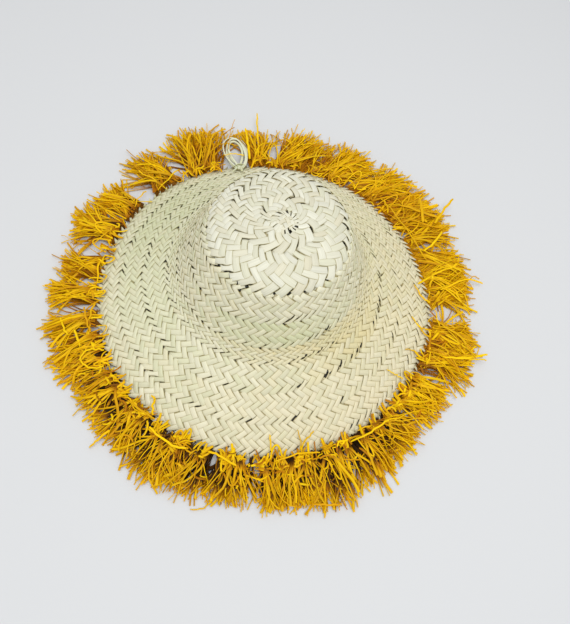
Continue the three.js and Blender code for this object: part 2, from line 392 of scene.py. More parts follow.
TIP_SIZE = {  # degrees from +X: width of the tip's plait, with 1 at the front
    62: 0.88, 120: 0.77, 150: 0.71, 177: 0.72, 199: 0.77, 212: 0.82, 230: 0.94, 272: 1.0, 315: 1.03,
    354: 0.99, 376: 0.95, 409: 0.87, 422: 0.88,
}
TIP_TURNS = 2  # turns of the coil inside the rim
TIP_STEP_AT = math.radians(62)  # each turn steps out over the one before it in one stretch, at the back
TIP_STEP_SHARE = 0.45  # share of a turn that the step takes
TIP_HUB = 13.0  # the coil starts this far from its middle
TIP_SPARE = (0.3, 0.4)  # turns by which the coil runs on past its ends, for strands that reach in
TIP_SAMPLES = 2400
TIP_GAPS = {"all": 0.12, "rim": 0.22, "waves": 0.1, "right": 0.25}  # shares of width lost to the gaps
TIP_COLOURS = ["#d8d7be", "#dddbc5", "#e3e2d0", "#dfddc8", "#dad5bb"]


def tip_size(angle):
    return np.interp(np.degrees(angle), list(TIP_SIZE), list(TIP_SIZE.values()), period=360)


def tip_coil(angle):
    turn = (angle - TIP_STEP_AT) / FULL_TURN
    whole = np.floor(turn)
    step = smooth_step((turn - whole) / TIP_STEP_SHARE)
    return tip_edge - tip_plait["width"] * tip_size(angle) * (whole + step)


def tip_slit(angle):
    """Gaps are widest along the rim, which is the outermost turn, and on the right."""
    turn = (angle - TIP_STEP_AT) / FULL_TURN
    rim = TIP_GAPS["rim"] * smooth_step(1.5 - turn)
    waves = TIP_GAPS["waves"] * np.sin(1.3 * angle) ** 2
    right = TIP_GAPS["right"] * smooth_step(2 * np.cos(angle) - 0.9)
    return TIP_GAPS["all"] + rim + waves + right


def tip_shade(angle, distance, luck):
    return blend_of(TIP_COLOURS, luck[0]) * (0.9 + 0.1 * luck[1])


def tip_fold(lean, distance):
    """The tip's rim folds under where it meets the crown side."""
    return 0.5 * smooth_step((distance - tip_edge + 2) / 2), 1


tip_plait = {
    "width": 40.4, "rows": 8, "pace": 1.08, "skew": 0.2, "even": 0.75, "least": 27, "coil": tip_coil,
    "size": tip_size, "fill": (1.04, 1.13), "drift": 0.12, "stray": 0.05, "nip": 0.18, "shut": 0.1,
    "slit": tip_slit, "shade": tip_shade,
}
chance = np.random.default_rng(11)
tip_span = np.linspace(-TIP_SPARE[0], TIP_TURNS + TIP_STEP_SHARE + TIP_SPARE[1], TIP_SAMPLES)
tip_angles = TIP_STEP_AT + FULL_TURN * tip_span
tip_strands = plait_strands(tip_plait, tip_angles, (TIP_HUB, tip_edge), 4, tip_fold, chance)

HUB_FAN = 17  # short strands of the coil's start, which splay round its middle
HUB_FROM, HUB_TO = 5, (15.5, 18)  # distances at which they start and end
HUB_FILL = 1.15  # share of their room that they would take without gaps
HUB_OPEN = {  # degrees from +X: share of its room that the gap beside such a strand takes
    -180: 0.3, -120: 0.1, -85: 0.3, -50: 0.55, -10: 0.6, 15: 0.3, 45: 0.2, 75: 0.55, 110: 0.6, 140: 0.2,
    180: 0.3,
}
HUB_TWIST = 0.03  # radians that they turn by for each step out
HUB_SINK = {5: -1.2, 10: -1.0, 18: -2.0}  # distance: how far they lie from the straw's outer face
HUB_CROSS = 3  # strands each way of the small patch that the plait is started from
HUB_SPACE = 4.3
HUB_LEAN = math.radians(35)
HUB_LIFT, HUB_RISE = -0.55, 0.42  # where the patch lies, and how far its strands stand out of it
HUB_DROOP, HUB_HALF = 0.9, 8  # how far they bend down, and how far from the middle


def hub_strand(x, y, lift, width, chance):
    """A short strand of the coil's middle, through points measured from there."""
    points, face = straw_point(np.hypot(x, y), np.arctan2(y, x), lift)
    shade = tip_shade(0, 0, chance.random(2))
    mark = chance.uniform(0, GRAIN_ROOM)
    return ribbon(points, face, width / 2, PALM_HALF_THICK, PALM_SECTION, shade, mark)


for number in range(HUB_FAN):
    reach = np.linspace(HUB_FROM, chance.uniform(*HUB_TO), 7)
    angle = FULL_TURN * (number + chance.uniform(-0.3, 0.3)) / HUB_FAN - math.pi
    gap = np.interp(math.degrees(angle), list(HUB_OPEN), list(HUB_OPEN.values()))
    gap = gap + chance.uniform(-0.12, 0.12)
    width = FULL_TURN * reach / HUB_FAN * (HUB_FILL - gap)
    angle = angle + HUB_TWIST * (reach - 10)
    lift = np.interp(reach, list(HUB_SINK), list(HUB_SINK.values()))
    tip_strands.append(hub_strand(reach * np.cos(angle), reach * np.sin(angle), lift, width, chance))
for lean in (1, -1):
    for number in range(HUB_CROSS):
        aside = HUB_SPACE * (number - (HUB_CROSS - 1) / 2) + chance.normal(0, 0.4)
        along = np.linspace(-1, 1, 9) * chance.uniform(6.5, 9.5)
        over = np.cos(math.pi * (along / HUB_SPACE + number))
        lift = HUB_LIFT + lean * HUB_RISE * over - HUB_DROOP * (along / HUB_HALF) ** 4
        turn = HUB_LEAN + (lean < 0) * math.pi / 2 + chance.normal(0, 0.1)
        x = along * math.cos(turn) - aside * math.sin(turn)
        y = along * math.sin(turn) + aside * math.cos(turn)
        tip_strands.append(hub_strand(x, y, lift, chance.uniform(3.4, 4.3), chance))

PALM_RIM = "#bcb182"  # the sides of a strand are duller and browner than its face, and this also paints the shade in the thin gaps between strands
palm_wide = fibre_material("palm_wide", streaks=(4, 0.05, 1), tones=(0.9, 1.04), rough=(0.45, 0.65),
                           gloss=0.3, bump=0.35, rim=PALM_RIM)
strand_piece("crown_tip_plait", tip_strands, palm_wide, "crown_tip")

# The crown side is the sloping wall of the crown, a plait of eight narrower strand rows that starts
# under the rim of the tip and winds down and outwards, sewn edge to edge to its own last turn.
SIDE_SEAM_AT = -0.153  # in turns from +X: where the seam meets the rim of the tip
SIDE_UNDER = 0.8  # how far the first strands run in under the tip
SIDE_SPARE = (0.3, 1.1)  # turns by which the coil runs on past the brim edge and past its start
SIDE_SAMPLES = 6000
SIDE_GAPS = {  # shares of width lost to the gaps, which are fewer on the right of the brim
    "all": 0.14, "waves": 0.22, "right": 0.7, "brim less": 0.6, "left back": 0.25,
}
SIDE_COLOURS = ["#dadab8", "#dfddbe", "#e4e1c4", "#e8e5ca", "#e3ddbc"]
TINGES = [  # stretches of greener or yellower strands: angle and distance with their reach, colour, share
    {"at": 275, "along": tip_edge + 42, "wide": 40, "deep": 9, "colour": "#ccd3a4", "share": 0.6},
    {"at": 290, "along": crease - 4, "wide": 45, "deep": 12, "colour": "#dccd92", "share": 0.45},
    {"at": 325, "along": crease + 14, "wide": 32, "deep": 18, "colour": "#d8c47f", "share": 0.5},
    {"at": 148, "along": crease + 60, "wide": 32, "deep": 45, "colour": "#c3c99c", "share": 0.6},
    {"at": 315, "along": crease + 75, "wide": 70, "deep": 45, "colour": "#e2d5b2", "share": 0.5},
    {"at": 190, "along": crease + 40, "wide": 40, "deep": 40, "colour": "#d6dab4", "share": 0.45},
    {"at": 15, "along": crease + 45, "wide": 50, "deep": 55, "colour": "#dccf9c", "share": 0.35},
]


def side_size(angle):
    return np.ones_like(angle)


def side_coil(angle):
    return tip_edge + side_plait["width"] * (SIDE_SEAM_AT - angle / FULL_TURN)


def side_shade(angle, distance, luck):
    """A strand's own colour, tinged where the leaf was greener or had yellowed."""
    shade = blend_of(SIDE_COLOURS, luck[0]) * (0.92 + 0.1 * luck[1])
    for tinge in TINGES:
        share = tinge["share"] * nearness(tinge, distance, angle) * (0.7 + 0.6 * luck[1])
        shade = shade + (linear(tinge["colour"]) - shade) * min(1, share)
    return shade


def side_slit(angle):
    """Gaps are widest on the right of the crown, and wider than elsewhere at the left back."""
    turns = -angle / FULL_TURN
    waves = SIDE_GAPS["waves"] * np.sin(1.7 * angle + 0.4) ** 2
    right = SIDE_GAPS["right"] - SIDE_GAPS["brim less"] * smooth_step((turns - 3.0) / 0.8)
    right = smooth_step(2.5 * np.cos(angle + 0.3) - 1) * right
    left_back = SIDE_GAPS["left back"] * smooth_step(2.5 * np.cos(angle - 2.6) - 1.2)
    return SIDE_GAPS["all"] + waves + right + left_back


def side_fold(lean, distance):
    """The first strands start under the tip's rim."""
    return 1.6 * smooth_step((tip_edge + 1.5 - distance) / (SIDE_UNDER + 1)), 1


side_plait = {
    "width": 31.9, "rows": 8, "pace": 1.05, "skew": 0, "even": 0.5, "least": 0, "coil": side_coil,
    "size": side_size, "fill": (1.0, 1.08), "drift": 0.1, "stray": 0.03, "nip": 0.16, "shut": -0.5,
    "slit": side_slit, "shade": side_shade,
}
SIDE_SEED = 23
side_turns = (brim_edge + GATHER["extra"] - tip_edge) / side_plait["width"] + SIDE_SPARE[0]
side_span = np.linspace(SIDE_SEAM_AT - side_turns, SIDE_SEAM_AT + SIDE_SPARE[1], SIDE_SAMPLES)
side_angles = FULL_TURN * side_span
side_cut = (tip_edge - SIDE_UNDER, crease)
chance = np.random.default_rng(SIDE_SEED)
side_strands = plait_strands(side_plait, side_angles, side_cut, 3, side_fold, chance)
palm_plait = fibre_material("palm_plait", streaks=(4, 0.06, 1), tones=(0.93, 1.04), rough=(0.45, 0.65),
                            gloss=0.3, bump=0.35, rim=PALM_RIM)
strand_piece("crown_side_plait", side_strands, palm_plait, "crown_side")

# The brim is the same plait, wound on from the crease of the crown to the edge. There the strands of one
# lean are folded back under, which leaves a row of teeth, and those of the other end below them.
EDGE_FOLD = 7.0  # the outermost straw, where the strands narrow to teeth
EDGE_RISE = {1: -1.4, -1: 2.2}  # by lean, how far strands rise from the slope of the brim there
EDGE_PAST = 4.5  # how far the teeth reach past the edge of the wall
EDGE_LEFT = {1: 0.1, -1: 0.12}  # by lean, the share of its width that a strand keeps at its end


def brim_fold(lean, distance):
    near = np.clip((distance - brim_edge - EDGE_PAST + EDGE_FOLD) / EDGE_FOLD, 0, 1)
    return -EDGE_RISE[lean] * near**1.5, 1 - (1 - EDGE_LEFT[lean]) * near**1.6


brim_cut = (crease, brim_edge + EDGE_PAST)
chance = np.random.default_rng(SIDE_SEED)  # the same draws, so strands carry on from the crown side
brim_strands = plait_strands(side_plait, side_angles, brim_cut, 2, brim_fold, chance)
strand_piece("brim_plait", brim_strands, palm_plait, "brim")

# The fringe is raffia dyed mustard. Bunches are drawn through the brim edge and knotted, so that short
# ends lie on the straw inside the edge and long tails fan out over the surface, cut to a rough length.
FRINGE_FROM, FRINGE_TO = 114, 462  # degrees anticlockwise from +X; the rest is left for the loop
FRINGE = {  # angle: reach from the hat's middle, degrees that the tips are swept round, strength of the painted shade between the strands, and share of the brim edge that the knots and short ends hide
    # dye that shows between the strands, and share of the brim edge that the knots and short ends hide
    0: (240, 0, 0.32, 0.1), 12: (247, 0, 0.28, 0.1), 40: (252, -5, 0.48, 0.1), 60: (250, -5, 0.6, 0.35),
    82: (244, -3, 0.62, 0.6), 102: (248, -1, 0.6, 0.6), 114: (250, 0, 0.6, 0.5), 122: (257, 0, 0.8, 0.3),
    134: (246, 2, 0.8, 0.1), 150: (235, 0, 0.9, 0.1), 164: (244, 2, 0.9, 0.25), 175: (226, 0, 0.7, 0.4),
    186: (242, -2, 0.7, 0.4), 200: (247, 0, 0.8, 0.5), 218: (231, -2, 1.25, 0.8), 232: (236, 0, 1.9, 0.9),
    245: (241, 0, 2.2, 1), 258: (236, 0, 2.2, 0.95), 275: (239, 1, 2.2, 0.9), 295: (243, -1, 2, 1),
    312: (241, 2, 1.3, 0.9), 324: (239, 4, 0.95, 0.8), 346: (249, 1, 0.5, 0.4), 360: (240, 0, 0.32, 0.1),
}
PARTINGS = {  # angle of a parting of the fringe: degrees that strands start aside of it, and lean away
    7.5: (1, 0), 0: (1.6, 46), 27: (0, 32), 33: (1.8, 0), 50: (0, 26), 63.5: (0, 28), 78: (0, 24),
    95: (0, 32), 129.5: (1.8, 38), 145.6: (3, 36), 158: (0.4, 24), 172: (3, 48), 177.5: (1.2, 0),
    185: (0.6, 28), 194: (0.6, 28), 202: (0.6, 26), 216: (0.2, 18), 240: (0, 12), 257: (0, 8),
    273.4: (1.2, 10), 300: (0.2, 16), 322: (0.4, 20), 338: (0.2, 18),
}
PARTING_WIDE = 7  # degrees to each side that a parting is felt
PARTING_FULL = 30  # degrees of lean at which it holds strands together the most
PARTING_HOLD = 0.7  # share of their freedom that they lose then
KNOTS = 64  # one to a bunch
KNOT_R = 188  # radius at which strands leave the knots
HEADING_R = 191  # radius of the middle of the knots
SHORT_END_LONG = 11  # how far short ends reach in over the straw
SHORT_END_OVER = [(193, 9), (198, 6.5)]  # radius and height of the places where they run into their knot
KNOT_SPAN = (188, 197)  # radii that turns round a knot cross
TANGLE_SPAN = (185, 197)  # radii at which short lengths lie across the knots
BIGHT_SHARE, BIGHT_INWARD = 0.5, 0.45  # shares of knots with a bight, and of bights on the straw
TAIL_LAYERS = [  # locks of strands in a bunch, from the undermost layer: how many and of how many strands, radius and height at which they start, degrees that they start and lean apart, heights at which they lie, how much shorter they are, how dark their painted shade is near the knot, and where along them that clears
    # radius and height at which they start, degrees that they start and lean apart, heights at which they
    # lie, how much shorter they are, how deep their dye is near the knot, and where along them that clears
    {"locks": 6, "strands": 5, "from": 183, "height": 2.2, "apart": 3.3, "fan": 14, "rest": (1.4, 2.6),
     "short": (3, 13), "deep": 1.0, "clear": (0.45, 1.0)},
    {"locks": 6, "strands": 4, "from": 186, "height": 4.5, "apart": 2.4, "fan": 22, "rest": (3, 6),
     "short": (0, 9), "deep": 1.0, "clear": (0.3, 1.0)},
    {"locks": 5, "strands": 3, "from": 188, "height": 7.5, "apart": 2.2, "fan": 28, "rest": (5, 10),
     "short": (0, 14), "deep": 0.6, "clear": (0, 0.4)},
]
RAFFIA_SECTION = np.array([(1, 0), (0, 1), (-1, 0), (0, -1)])
RAFFIA_COLOURS = ["#dda200", "#eebb00", "#f7c800", "#ffd600", "#f2c100"]
RAFFIA_PAINTED_HALF_SHADE = ["#b06c00", "#bd7a00", "#c88600"]  # painted half shade, warmer, half way to the full painted shade
RAFFIA_PAINTED_SHADE = ["#1d1300", "#3a2100", "#583400"]  # painted shade near the knots and between the strands
RAFFIA_SHADE_KEPT = 0.06  # share of the painted shade that strands keep all along
RAFFIA_TONES = (0.88, 1.06)  # how dark and how light strands are
LOCK_TONES = 0.2  # how far the strands of a lock differ in colour
FLOOR_CLEAR = 1.4  # the lowest middle line of a strand
BARE_OUT, BARE_LOW = 1.5, 0.6  # where the brim edge is bare: how much further out and how low tails start
CUT_SHORT = (-60, 18)  # luck of a lock being cut shorter, with no cut below 0
STEEPEST = 0.75  # cosine of the lean past which locks grow no longer
LOCK_BEND = 24  # degrees that locks bend by, give or take
STRAND_SPLAY = 6  # degrees that the strands of a lock lean apart
STRAND_HOOK = 70  # degrees by which strands bend on towards their tips
STRAND_KINK = 8  # degrees by which strands turn from one point to the next
STRAND_LENGTH = (0.88, 1.04)  # in lengths of the lock
STRAND_ASIDE = 1.2  # how far strands start to the sides of their lock
STRAND_LIFT = (0.7, 0.3)  # how far they lie above or below it, all along and from point to point
STRAND_THIN, STRAND_MORE = 0.95, 1.9  # width of the narrowest, and how much wider the widest are
STRAND_ROLL = (0.4, 0.8)  # radians that their flat side is turned, all along and towards the tip


def fringe_at(degrees):
    """The row of the fringe's table at an angle."""
    table = np.array(list(FRINGE.values()), float)
    return [np.interp(degrees % 360, list(FRINGE), column) for column in table.T]


def parted(at):
    """Where strands start that would start at an angle, their lean there, and how freely they fan out."""
    lean, free = 0, 1
    for angle, (aside, turn) in PARTINGS.items():
        off = turned_from(at, angle)
        near = max(0, 1 - abs(off) / PARTING_WIDE)
        at += math.copysign(aside * near, off)
        lean += math.copysign(turn * near, off)
        free = min(free, 1 - PARTING_HOLD * near * min(1, turn / PARTING_FULL))
    return at, math.radians(lean), free


def straw_height(r):
    return np.interp(r, section_line[:, 0], section_line[:, 1])


def raffia(points, width, roll, deep, chance, tone=None):
    """A strand of raffia along points, its flat side turned by roll from facing up."""
    way = unit(np.gradient(points, axis=0))
    side = unit(np.cross(way, (0, 0, 1)))
    up = np.cross(side, way)
    roll = np.broadcast_to(roll, len(points))
    face = up * np.cos(roll)[:, None] + side * np.sin(roll)[:, None]
    luck = chance.random() if tone is None else np.clip(tone + chance.normal(0, LOCK_TONES), 0, 1)
    deep = np.broadcast_to(deep, len(points))
    # Painted shade: `deep` blends the mustard dye towards a warmer half shade and then a dark shade
    lit_and_shaded = [blend_of(colours, luck) for colours in (RAFFIA_COLOURS, RAFFIA_PAINTED_HALF_SHADE, RAFFIA_PAINTED_SHADE)]
    shade = np.stack([np.interp(deep, (0, 0.5, 1), part) for part in np.transpose(lit_and_shaded)], -1)
    shade = shade * chance.uniform(*RAFFIA_TONES)
    thick = 0.3 + width * 0.1
    return ribbon(points, face, width / 2, thick, RAFFIA_SECTION, shade, chance.uniform(0, GRAIN_ROOM))


def local_points(degrees, out, aside, z):
    """Points measured outwards, anticlockwise and up from the hat's middle, facing an angle."""
    angle = math.radians(degrees)
    x = out * math.cos(angle) - aside * math.sin(angle)
    y = out * math.sin(angle) + aside * math.cos(angle)
    return np.stack([x, y, z], -1)


def laid_points(places, steps):
    """A smooth line through places that are given as degrees, radius and height."""
    degrees, r, z = smooth_line(np.array(places, float), steps).T
    return np.stack([r * np.cos(np.radians(degrees)), r * np.sin(np.radians(degrees)), z], -1)


def lock(knot, layer, chance):
    """Strands of a bunch that lie together, from its knot out to their cut tips."""
    at, away, free = parted(knot["at"] + layer["apart"] * chance.uniform(-1, 1))
    reach, sweep, painted_gloom, hidden = fringe_at(at)
    begin = layer["from"] + knot["edge"] + BARE_OUT * (1 - hidden) + chance.uniform(-1, 1)
    rise = layer["height"] * (BARE_LOW + (1 - BARE_LOW) * hidden)
    lean = away + free * (knot["lean"] + math.radians(knot["open"] * layer["fan"] * chance.uniform(-1, 1)))
    lean += math.atan2(math.radians(sweep) * reach, reach - begin)
    bend = free * math.radians(chance.normal(0, LOCK_BEND))
    short = chance.uniform(*layer["short"]) + max(0, chance.uniform(*CUT_SHORT))
    length = (reach + knot["cut"] - short - begin) / max(math.cos(lean), STEEPEST)
    rest = chance.uniform(*layer["rest"])
    crest = max(rise, rest) + chance.uniform(0, 2)
    tip = max(FLOOR_CLEAR, rest * chance.uniform(0.2, 0.9))
    line = smooth_line(np.array([(0, rise), (0.25, crest), (0.6, rest), (1, tip)]), 3)
    clear_from, clear_to = layer["clear"]
    tone = chance.random()
    strands = []
    for _ in range(layer["strands"]):
        part, z = line.T
        hook = free * math.radians(chance.normal(0, STRAND_HOOK)) * np.maximum(0, part - 0.6)
        kinks = free * np.radians(chance.normal(0, STRAND_KINK, len(part))).cumsum()
        way = lean + math.radians(chance.normal(0, STRAND_SPLAY)) + bend * (part - 0.3) + hook + kinks
        step = np.diff(part, prepend=0) * length * chance.uniform(*STRAND_LENGTH)
        out = begin + (step * np.cos(way)).cumsum()
        across = chance.normal(0, STRAND_ASIDE) + (step * np.sin(way)).cumsum()
        z = z + chance.normal(0, STRAND_LIFT[0])
        z = z + chance.normal(0, STRAND_LIFT[1], len(part)).cumsum() * part
        z = np.maximum(z, FLOOR_CLEAR)
        roll = chance.normal(0, STRAND_ROLL[0]) + chance.normal(0, STRAND_ROLL[1]) * part
        width = STRAND_THIN + STRAND_MORE * chance.random() ** 1.8
        width = width * np.interp(part, [0, 0.2, 0.8, 1], [0.8, 1, 1, 1.15])
        # Painted shade, darkest near the knot and in the lower layers, and stronger where the fringe is shaded
        # more
        deep = layer["deep"] * (1 - smooth_step((part - clear_from) / (clear_to - clear_from)))
        deep = np.minimum(painted_gloom * np.maximum(deep, RAFFIA_SHADE_KEPT), 1)
        strands.append(raffia(local_points(at, out, across, z), width, roll, deep, chance, tone))
    return strands


def knot_strand(knot, out, across, z, width, roll, deep, chance):
    """A strand of raffia through points measured outwards and aside at a knot."""
    return raffia(local_points(knot["at"], out + knot["edge"], across, z), width, roll, deep, chance)


def short_end(knot, chance):
    """A short end of a bunch, which lies on the straw inside the edge."""
    inner = KNOT_R - 1 - SHORT_END_LONG * chance.random() ** 1.3
    lifted = chance.uniform(0.8, 3.5)
    half_way = 0.5 * inner + 0.5 * HEADING_R
    places = [(inner, straw_height(inner) + lifted), (half_way, 8.5), *SHORT_END_OVER]
    out, z = smooth_line(np.array(places, float), 3).T
    part = np.linspace(0, 1, len(out))
    across = chance.uniform(-9, 9) * (1 - part) + chance.uniform(-4, 4) * part
    roll = chance.normal(0, 0.5)
    width = chance.uniform(1.6, 3.0) * np.interp(part, [0, 0.2, 1], [0.8, 1, 0.8])
    # painted shade on some of the short ends, among the knots
    deep = 0.5 * max(0, chance.uniform(-1, 1))
    return knot_strand(knot, out, across, z, width, roll, deep, chance)


def tangled(knot, chance, span=TANGLE_SPAN):
    """A short length of raffia that lies across the knots or tails, any way round."""
    part = np.linspace(-0.5, 0.5, 6)
    way = chance.uniform(0, math.pi) + math.radians(chance.normal(0, 40)) * part
    length = chance.uniform(7, 20)
    out = chance.uniform(*span) + length * part * np.cos(way)
    across = chance.uniform(-9, 9) + length * part * np.sin(way)
    z = np.maximum(straw_height(out) + 1, chance.uniform(6, 10)) + chance.uniform(0, 2) - 6 * part**2
    width = chance.uniform(1, 2.4) * np.interp(part, [-0.5, -0.3, 0.5], [0.8, 1, 0.8])
    # painted shade on some of them
    deep = 0.8 * max(0, chance.uniform(-0.7, 1))
    return knot_strand(knot, out, across, z, width, 0.5 * part, deep, chance)


def wrapping(knot, chance):
    """A turn of raffia across a knot."""
    part = np.linspace(0, 1, 7)
    out = chance.uniform(*KNOT_SPAN) + chance.uniform(-7, 7) * part
    across = chance.uniform(3, 8) * (2 * part - 1)
    z = 5 + chance.uniform(4, 6.5) * np.sin(math.pi * part)
    return knot_strand(knot, out, across, z, chance.uniform(1.6, 2.8), 0, 0, chance)


def bight(knot, chance):
    """A strand that leaves a knot and comes back to it: over the tails, or over the straw."""
    part = np.linspace(0, 1, 11)
    inward = chance.random() < BIGHT_INWARD
    length = chance.uniform(-14, -7) if inward else chance.uniform(12, 32)
    out = KNOT_R + length * np.sin(math.pi * part)
    across = chance.uniform(3, 5 if inward else 9) * np.cos(math.pi * part) + chance.uniform(-4, 4) * part
    z = np.maximum(straw_height(out) + 1.2, 8) + chance.uniform(1.5, 3.5) * np.sin(math.pi * part)
    return knot_strand(knot, out, across, z, chance.uniform(1.3, 2.3), 0.8 * part - 0.4, 0, chance)


KNOT_STRANDS = [(short_end, 6), (wrapping, 2), (tangled, 9)]  # how many, where knots hide the edge
chance = np.random.default_rng(37)
under_tails, tails, heading = [], [], []
for number in range(KNOTS):
    share = (number + 0.5 + chance.uniform(-0.3, 0.3)) / KNOTS
    at = FRINGE_FROM + (FRINGE_TO - FRINGE_FROM) * share
    knot = {
        "at": at,
        "edge": bulged(brim_edge, math.radians(at)),
        "lean": math.radians(chance.normal(0, 6)),
        "open": chance.uniform(0.6, 1.3),
        "cut": chance.normal(3, 4),
    }
    for layer in TAIL_LAYERS:
        for _ in range(layer["locks"]):
            (under_tails if layer is TAIL_LAYERS[0] else tails).extend(lock(knot, layer, chance))
    hidden = fringe_at(at)[3]
    for laid, many in KNOT_STRANDS:
        heading += [laid(knot, chance) for _ in range(chance.poisson(many * hidden))]
    if chance.random() < BIGHT_SHARE:
        heading.append(bight(knot, chance))

RUNNERS = 16  # strands that lie along the heading, over several bunches
RUNNER_CLEAR = 8  # degrees from the ends of the fringe to the middle of the first and last
RUNNER_HIGH, RUNNER_DROP = 10.5, 3  # height of their middles, and how much lower their ends are
runner_span = FRINGE_TO - FRINGE_FROM - 2 * RUNNER_CLEAR
for number in range(RUNNERS):
    part = np.linspace(-1, 1, 7)
    middle = FRINGE_FROM + RUNNER_CLEAR + runner_span * (number + chance.random()) / RUNNERS
    degrees = middle + chance.uniform(2.5, 6) * part
    r = HEADING_R + chance.uniform(-4, 8) + chance.uniform(-7, 7) * part + chance.normal(0, 1.0, len(part))
    z = RUNNER_HIGH + chance.uniform(-1, 1.5) - RUNNER_DROP * np.abs(part) ** 3
    points = laid_points(np.stack([degrees, r, z], -1), 2)
    roll = np.linspace(-0.7, 0.7, len(points))
    heading.append(raffia(points, chance.uniform(1.2, 2.4), roll, 0, chance))

LOOSE = [  # single strands that stand out: width, and places as degrees, radius and height
    (1.5, [(47.6, 194, 13), (34, 192, 14), (19.5, 196, 13)]),
    (2.0, [(316.8, 195, 13), (310, 193, 14.5), (303, 191, 13)]),
    (1.6, [(293, 188.5, 12), (286, 186, 14), (278.8, 190, 12)]),
    (2.2, [(259, 189, 12.5), (263.3, 191, 13.5), (267.8, 196, 12)]),
    (2.2, [(240.2, 195, 13), (248.7, 198, 14), (252.5, 194, 12)]),
    (2.0, [(196.5, 224, 9), (199.7, 221, 12), (202.5, 217, 11)]),
    (2.4, [(201.5, 210, 11), (204.4, 208.5, 13), (207, 208, 11)]),
    (2.0, [(194.5, 198, 12), (199.4, 196, 14), (203.6, 194, 12)]),
    (1.8, [(210.8, 186, 12), (209, 199, 13), (210.9, 211, 13), (214.8, 204, 13),
           (215.8, 192, 12)]),
    (3.2, [(41, 235, 14), (37.1, 226, 15), (33.5, 218, 13)]),
    (3.0, [(32.7, 241, 11), (38.8, 218, 14), (44.1, 205, 12)]),
    (3.0, [(31.8, 232, 10), (34, 250, 14), (35.6, 270, 18)]),
    (2.6, [(28.4, 235, 10), (24.5, 210, 13), (23.5, 198, 12)]),
    (2.4, [(345, 210, 11), (347, 236, 11), (350, 258, 10)]),
    (1.5, [(346.8, 238, 11.5), (347.8, 249, 11), (348.6, 259, 9)]),
    (1.3, [(350.6, 234, 9), (348.6, 242, 11), (347.6, 247, 11)]),
    (1.4, [(351.2, 248, 9), (348.8, 246, 11), (347.3, 240, 11)]),
    (2.0, [(8, 203, 12), (11.5, 238, 10), (10.4, 260, 7)]),
    (1.3, [(10, 236, 11), (12.6, 250, 8), (12, 258, 6)]),
    (2.2, [(99.2, 212, 8), (99.3, 240, 10), (99.2, 261, 12)]),
    (3.0, [(102.8, 188, 9), (103, 214, 10), (102.8, 240, 8)]),
    (0.8, [(110.3, 205, 9), (108.4, 229, 12), (106, 250, 15)]),
    (0.8, [(174.5, 195, 9), (171.8, 220, 7), (171, 245, 5)]),
    (1.4, [(263.8, 228, 5), (262.4, 239, 3), (259.5, 244, 2)]),
    (2.2, [(232.1, 222, 8), (232, 236, 6), (231.9, 247, 3)]),
    (1.8, [(292.2, 214, 8), (291, 232, 6), (289.8, 248, 3)]),
    (2.0, [(287.5, 234, 6), (291, 238, 7.5), (294.4, 241, 6)]),
    (2.4, [(238.2, 184, 10), (236, 176, 13), (235.6, 171.5, 16), (234, 171.5, 16.5)]),
    (2.0, [(351.8, 183, 9), (353.2, 174, 14.5), (355.1, 165.5, 20)]),
    (1.4, [(343.3, 184, 8.5), (342.6, 176, 13), (341.2, 168, 17.5)]),
    (1.4, [(331.4, 180, 10.5), (330.4, 170, 17), (329.2, 160, 22.5)]),
    (1.6, [(278.1, 184, 9), (277.9, 174, 14.5), (277.4, 165, 20)]),
    (1.2, [(286.8, 184, 9), (287.8, 175, 14), (287.3, 163.3, 21)]),
    (1.6, [(287.4, 181, 11), (289.6, 174, 15), (292.9, 168, 18.5)]),
    (2.2, [(3.1, 190, 11), (5.1, 180, 12), (9.7, 172, 15.5)]),
    (1.4, [(112.5, 196, 12), (109, 193.5, 14.5), (105, 191.5, 13)]),
]
LOOSE_CRINKLE = 0.4  # how far they stray from a smooth line
for width, places in LOOSE:
    points = laid_points(places, 5)
    points = points + chance.normal(0, LOOSE_CRINKLE, points.shape)
    part = np.linspace(0, 1, len(points))
    width = width * np.interp(part, [0, 0.1, 0.9, 1], [0.8, 1, 1, 0.75])
    heading.append(raffia(points, width, np.linspace(-0.4, 0.6, len(points)), 0, chance))

STAR = {"at": 117.2, "r": 181.6, "z": 12.5, "ends": 15}  # a knot by the loop, with short ends all round
for number in range(STAR["ends"]):
    part = np.linspace(0, 1, 6)
    angle = FULL_TURN * (number + chance.uniform(-0.5, 0.5)) / STAR["ends"]
    angle = angle + chance.normal(0, 0.5) * part
    length = chance.uniform(5, 16) * part
    z = STAR["z"] + chance.uniform(0, 3) * part - 3 * part**2
    points = local_points(STAR["at"], STAR["r"] + length * np.cos(angle), length * np.sin(angle), z)
    # painted shade on some ends, fading out along them
    deep = 0.8 * max(0, chance.uniform(-0.6, 1)) * (1 - part)
    heading.append(raffia(points, chance.uniform(0.9, 2.2), 0, deep, chance))

CRUMPLED = 110  # short lengths that lie across the tails at the front, where the fringe is most crumpled
CRUMPLED_AT = (205, 335)  # degrees from +X
CRUMPLED_SPAN = (195, 216)
for _ in range(CRUMPLED):
    at = chance.uniform(*CRUMPLED_AT)
    knot = {"at": at, "edge": bulged(brim_edge, math.radians(at))}
    heading.append(tangled(knot, chance, CRUMPLED_SPAN))

# The raffia's sides are darkened by its rim colour, a painted shade between the strands
raffia_dyed = fibre_material("raffia", streaks=(3, 0.08, 1), tones=(0.78, 1.1), rough=(0.45, 0.65),
                             gloss=0.13, bump=0.3, rim="#cc9a3c")
strand_piece("fringe_under", under_tails, raffia_dyed, "fringe")
strand_piece("fringe_tails", tails, raffia_dyed, "fringe")
strand_piece("fringe_heading", heading, raffia_dyed, "fringe")

